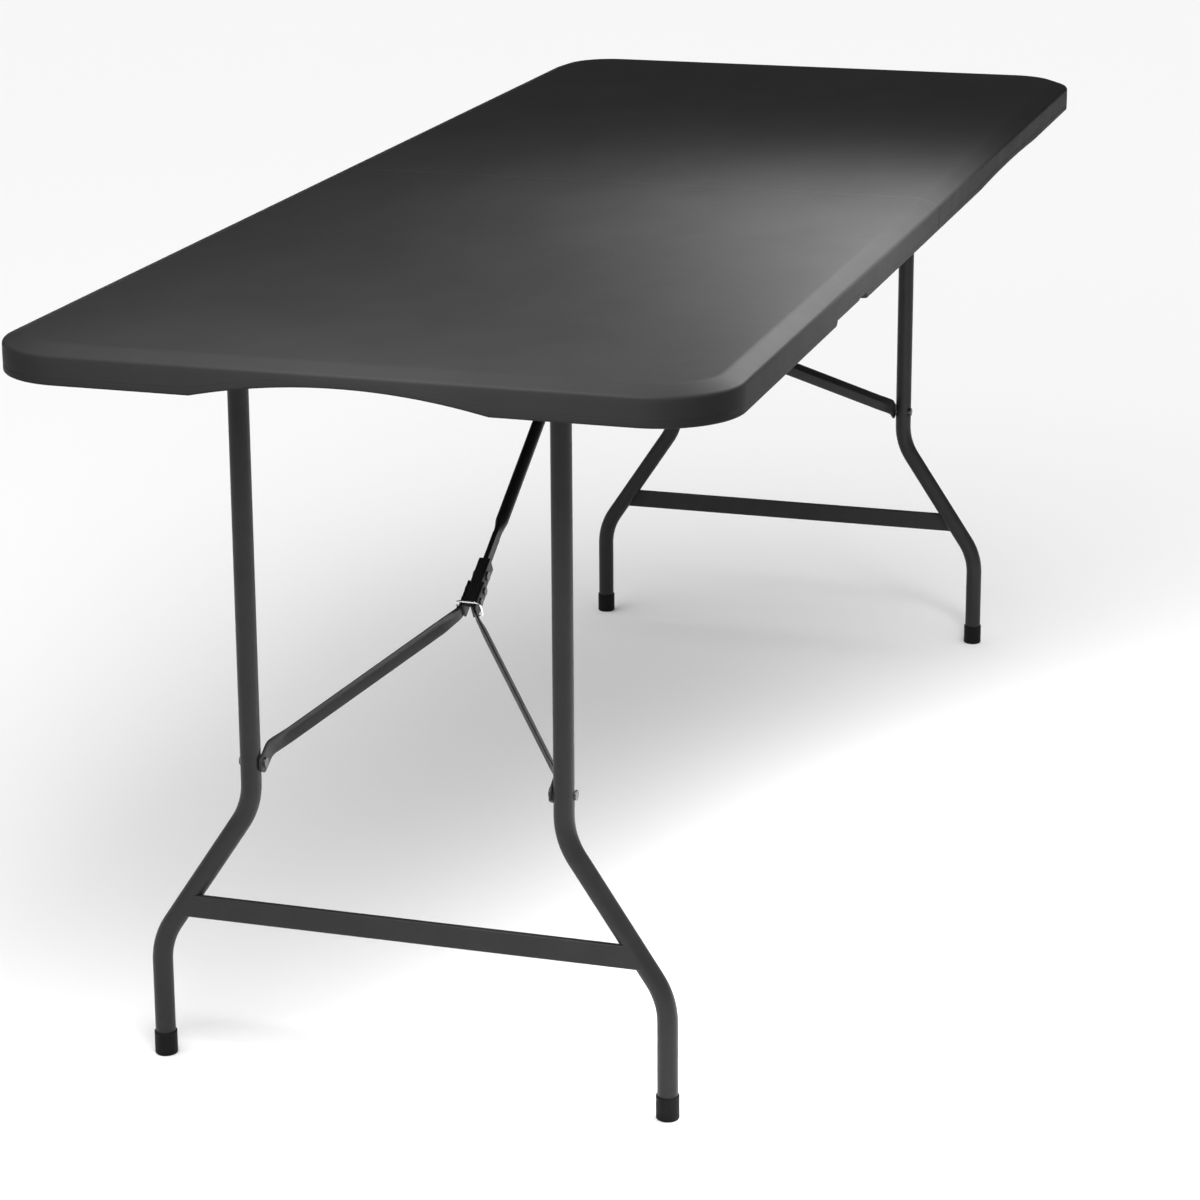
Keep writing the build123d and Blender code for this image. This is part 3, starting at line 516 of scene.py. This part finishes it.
# ---- brace arms ---------------------------------------------------------------------
JOINTS = {joint["name"]: joint for joint in frame["joints"]}
ARM_OFFSET = 4 * MM              # arm rivet in front of the leg's centreline
LEG_TO_ARM = 411 * MM            # leg pivot down to the arm's rivet
ARM_T = 3 * MM
PRESS_T = 1.8 * MM               # sheet thickness of the pressed run
ARM_HALF_W = 10 * MM
HUB_HALF_W = 8 * MM
ARM_TAB = (-10 * MM, 18 * MM)    # tab beside the leg, from its rivet
ARM_Y = 145.5 * MM
HUB_Y = 7.5 * MM
HUB_LEN = 50 * MM                # straight length beside the strut, up to the knee
ARM_END = 14 * MM                # the arm stops this short of the knee
ARM_BEND_R = 16 * MM
RIDGE = 3.6 * MM                 # height of the pressed ridge along the slanting run
RIDGE_FADE = 22 * MM
RIDGE_SINK = 0.3                 # share of the ridge that goes to the strip's other side
EDGE_THIN = 0.35                 # how far the strip's long edges are rolled, as a share
ARM_TIP = 0.12                   # least width left at the rounded end of the tab, as a share
ARM_STEP = 4 * MM
ARM_SHARP = 8                    # degrees, low enough to keep the ridge's crease
RIM_POINTS = 8


def fillet_path(points, radius, step):
    """A polyline with its corners rounded, as evenly spaced points with their directions."""
    dense = [Vector(points[0])]
    for before, corner, after in zip(points, points[1:], points[2:]):
        into = (Vector(corner) - Vector(before)).normalized()
        out = (Vector(after) - Vector(corner)).normalized()
        reach = radius * math.tan(into.angle(out) / 2)
        start, end = Vector(corner) - into * reach, Vector(corner) + out * reach
        for i in range(ROUND_STEPS + 1):
            t = i / ROUND_STEPS
            dense.append(start * (1 - t) ** 2 + Vector(corner) * 2 * t * (1 - t) + end * t ** 2)
    dense.append(Vector(points[-1]))
    path = []
    for a, b in zip(dense, dense[1:]):
        path += [mix(a, b, t) for t in spread(0, 1, step / max(EPS, (b - a).length))]
    path.append(dense[-1])
    ways = [(b - a).normalized() for a, b in zip(path, path[1:])]
    ways = [ways[0]] + [(a + b).normalized() for a, b in zip(ways, ways[1:])] + [ways[-1]]
    return path, ways


def arm_section(half_w, ridge):
    """Cross-section of the arm: a strip whose middle is pressed up into a ridge.
    Each point is (across the strip's face, out of its face)."""
    top, bottom = [], []
    sheet = mix(ARM_T, PRESS_T, min(1.0, ridge / RIDGE)) / 2
    for i in range(RIM_POINTS + 1):
        t = mix(-1, 1, i / RIM_POINTS)
        edge = sheet * EDGE_THIN if abs(t) == 1 else 0.0
        crest = ridge * (1 - abs(t)) - ridge * RIDGE_SINK
        top.append((t * half_w, crest + sheet - edge))
        bottom.append((t * half_w, crest - sheet + edge))
    return top + bottom[::-1]


def make_arm(half, side):
    """Pressed steel arm from its tab beside the leg to the hub, ridged along the slanting run."""
    out_x = -1 if half == "a" else 1
    y_sign = 1 if side == "left" else -1
    leg = JOINTS[f"leg_{half}_fold"]["pos_m"]
    knee = Vector(JOINTS[f"knee_{half}"]["pos_m"])
    foot = Vector((leg[0] - out_x * ARM_OFFSET, 0, leg[2] - LEG_TO_ARM))
    along = (knee - foot).normalized()
    length = (knee - foot).length
    upright = Vector((0, 1, 0)).cross(along) * out_x
    hub_start, hub_end = length - HUB_LEN, length - ARM_END
    corners = [(ARM_TAB[0], ARM_Y), (ARM_TAB[1], ARM_Y), (hub_start, HUB_Y), (hub_end, HUB_Y)]
    path, ways = fillet_path([(s, y, 0) for s, y in corners], ARM_BEND_R, ARM_STEP)
    mesh = bmesh.new()
    rings = []
    for point, way in zip(path, ways):
        rising = smooth((point.x - ARM_TAB[1]) / RIDGE_FADE)
        falling = smooth((hub_start - point.x) / RIDGE_FADE)
        narrow = smooth((point.x - hub_start + RIDGE_FADE) / RIDGE_FADE)
        past_rivet = min(0.0, point.x) / ARM_HALF_W
        tip = min(1.0, max(ARM_TIP, math.sqrt(max(0.0, 1 - past_rivet ** 2))))
        half_w = mix(ARM_HALF_W, HUB_HALF_W, narrow) * tip
        across = Vector((way.y, -way.x, 0))
        ring = []
        for w, out in arm_section(half_w, RIDGE * (rising * falling)):
            flat = point - across * out
            place = foot + along * flat.x + Vector((0, y_sign * flat.y, 0)) + upright * w
            ring.append(mesh.verts.new(place))
        rings.append(ring)
    bridge(mesh, rings)
    mesh.faces.new(rings[0])
    mesh.faces.new(rings[-1])
    add_piece(f"pressed_arm_{half}_{side}", mesh, "leg_steel", f"fork_{half}",
              f"brace_arm_{half}_{side}", ARM_SHARP)


# ---- the pieces ---------------------------------------------------------------------
for half in HALVES:
    make_tabletop(half)
    for side in SIDES:
        make_arm(half, side)

for name, node in frame["nodes"].items():
    for slot in node.material_slots:
        slot.material = FINISHES[slot.material.name]
    if name.startswith(SHEET_METAL):
        round_edges(node)


# ---- floor, camera and light --------------------------------------------------------
FLOOR_REACH = 60.0
FLOOR_WHITE = 0.9
CAMERA_PLACE = Vector((-3.60394, -1.07354, 1.45609))
CAMERA_YAW = 0.2987              # radians from +X towards +Y
CAMERA_PITCH = 0.2719            # radians below the horizon
CAMERA_ROLL = -0.0052
CAMERA_LENS = 102.86
CAMERA_SHIFT = -0.1
CAMERA_CLIP = (0.05, 200)
SENSOR = 36.0
DOME_AXIS = Vector((-0.32, 0.05, 0.95)).normalized()
DOME_DARK = (0.45, 0.02)         # (cosine from the dome's axis, brightness)
DOME_BRIGHT = (0.75, 1.75)


def make_floor():
    signs = ((-1, -1), (1, -1), (1, 1), (-1, 1))
    corners = [(x * FLOOR_REACH, y * FLOOR_REACH, 0) for x, y in signs]
    mesh = bpy.data.meshes.new("floor")
    mesh.from_pydata(corners, [], [(0, 1, 2, 3)])
    floor = bpy.data.objects.new("floor", mesh)
    bpy.context.scene.collection.objects.link(floor)
    finish = Finish("floor", grey(FLOOR_WHITE), roughness=0.9, specular=0.1)
    mesh.materials.append(finish.material)


def make_camera():
    ahead = Vector((math.cos(CAMERA_YAW) * math.cos(CAMERA_PITCH),
                    math.sin(CAMERA_YAW) * math.cos(CAMERA_PITCH), -math.sin(CAMERA_PITCH)))
    right = Vector((math.sin(CAMERA_YAW), -math.cos(CAMERA_YAW), 0))
    up = right.cross(ahead)
    c, s = math.cos(CAMERA_ROLL), math.sin(CAMERA_ROLL)
    right, up = c * right + s * up, c * up - s * right
    data = bpy.data.cameras.new("camera")
    data.sensor_width = SENSOR
    data.lens = CAMERA_LENS
    data.shift_y = CAMERA_SHIFT
    data.clip_start, data.clip_end = CAMERA_CLIP
    camera = bpy.data.objects.new("camera", data)
    turn = Matrix((right, up, -ahead)).transposed().to_4x4()
    camera.matrix_world = Matrix.Translation(CAMERA_PLACE) @ turn
    bpy.context.scene.collection.objects.link(camera)
    bpy.context.scene.camera = camera


def make_area_light(name, place, aim, size, power, spread_angle=180):
    data = bpy.data.lights.new(name, "AREA")
    data.shape = "RECTANGLE"
    data.size, data.size_y = size
    data.energy = power
    data.spread = math.radians(spread_angle)
    light = bpy.data.objects.new(name, data)
    away = Vector(place) - Vector(aim)
    turn = away.to_track_quat("Z", "Y").to_matrix().to_4x4()
    light.matrix_world = Matrix.Translation(place) @ turn
    light.visible_camera = False
    bpy.context.scene.collection.objects.link(light)


def make_world():
    """A studio dome: bright overhead and on the near side, dim towards the horizon."""
    world = bpy.data.worlds.new("studio")
    world.use_nodes = True
    tree = world.node_tree
    back = tree.nodes["Background"]
    place = tree.nodes.new("ShaderNodeTexCoord")
    lean = tree.nodes.new("ShaderNodeVectorMath")
    lean.operation = "DOT_PRODUCT"
    lean.inputs[1].default_value = DOME_AXIS
    ramp = tree.nodes.new("ShaderNodeValToRGB")
    for stop, (position, brightness) in zip(ramp.color_ramp.elements, (DOME_DARK, DOME_BRIGHT)):
        stop.position = position
        stop.color = (*grey(brightness), 1)
    tree.links.new(place.outputs["Generated"], lean.inputs[0])
    tree.links.new(lean.outputs["Value"], ramp.inputs["Fac"])
    tree.links.new(ramp.outputs["Color"], back.inputs["Color"])
    bpy.context.scene.world = world


make_floor()
make_camera()
make_world()
# close over the near long edge, kept off the far end
make_area_light("edge_light", place=(-0.2, -0.5, 1.12), aim=(-0.25, -0.45, 0.75),
                size=(0.8, 0.3), power=18, spread_angle=135)
# over the near end, from the camera's side
make_area_light("end_light", place=(-1.1, -0.02, 1.2), aim=(-0.45, -0.14, 0.75),
                size=(0.5, 0.5), power=12.5)
bpy.context.scene.view_settings.view_transform = "Standard"
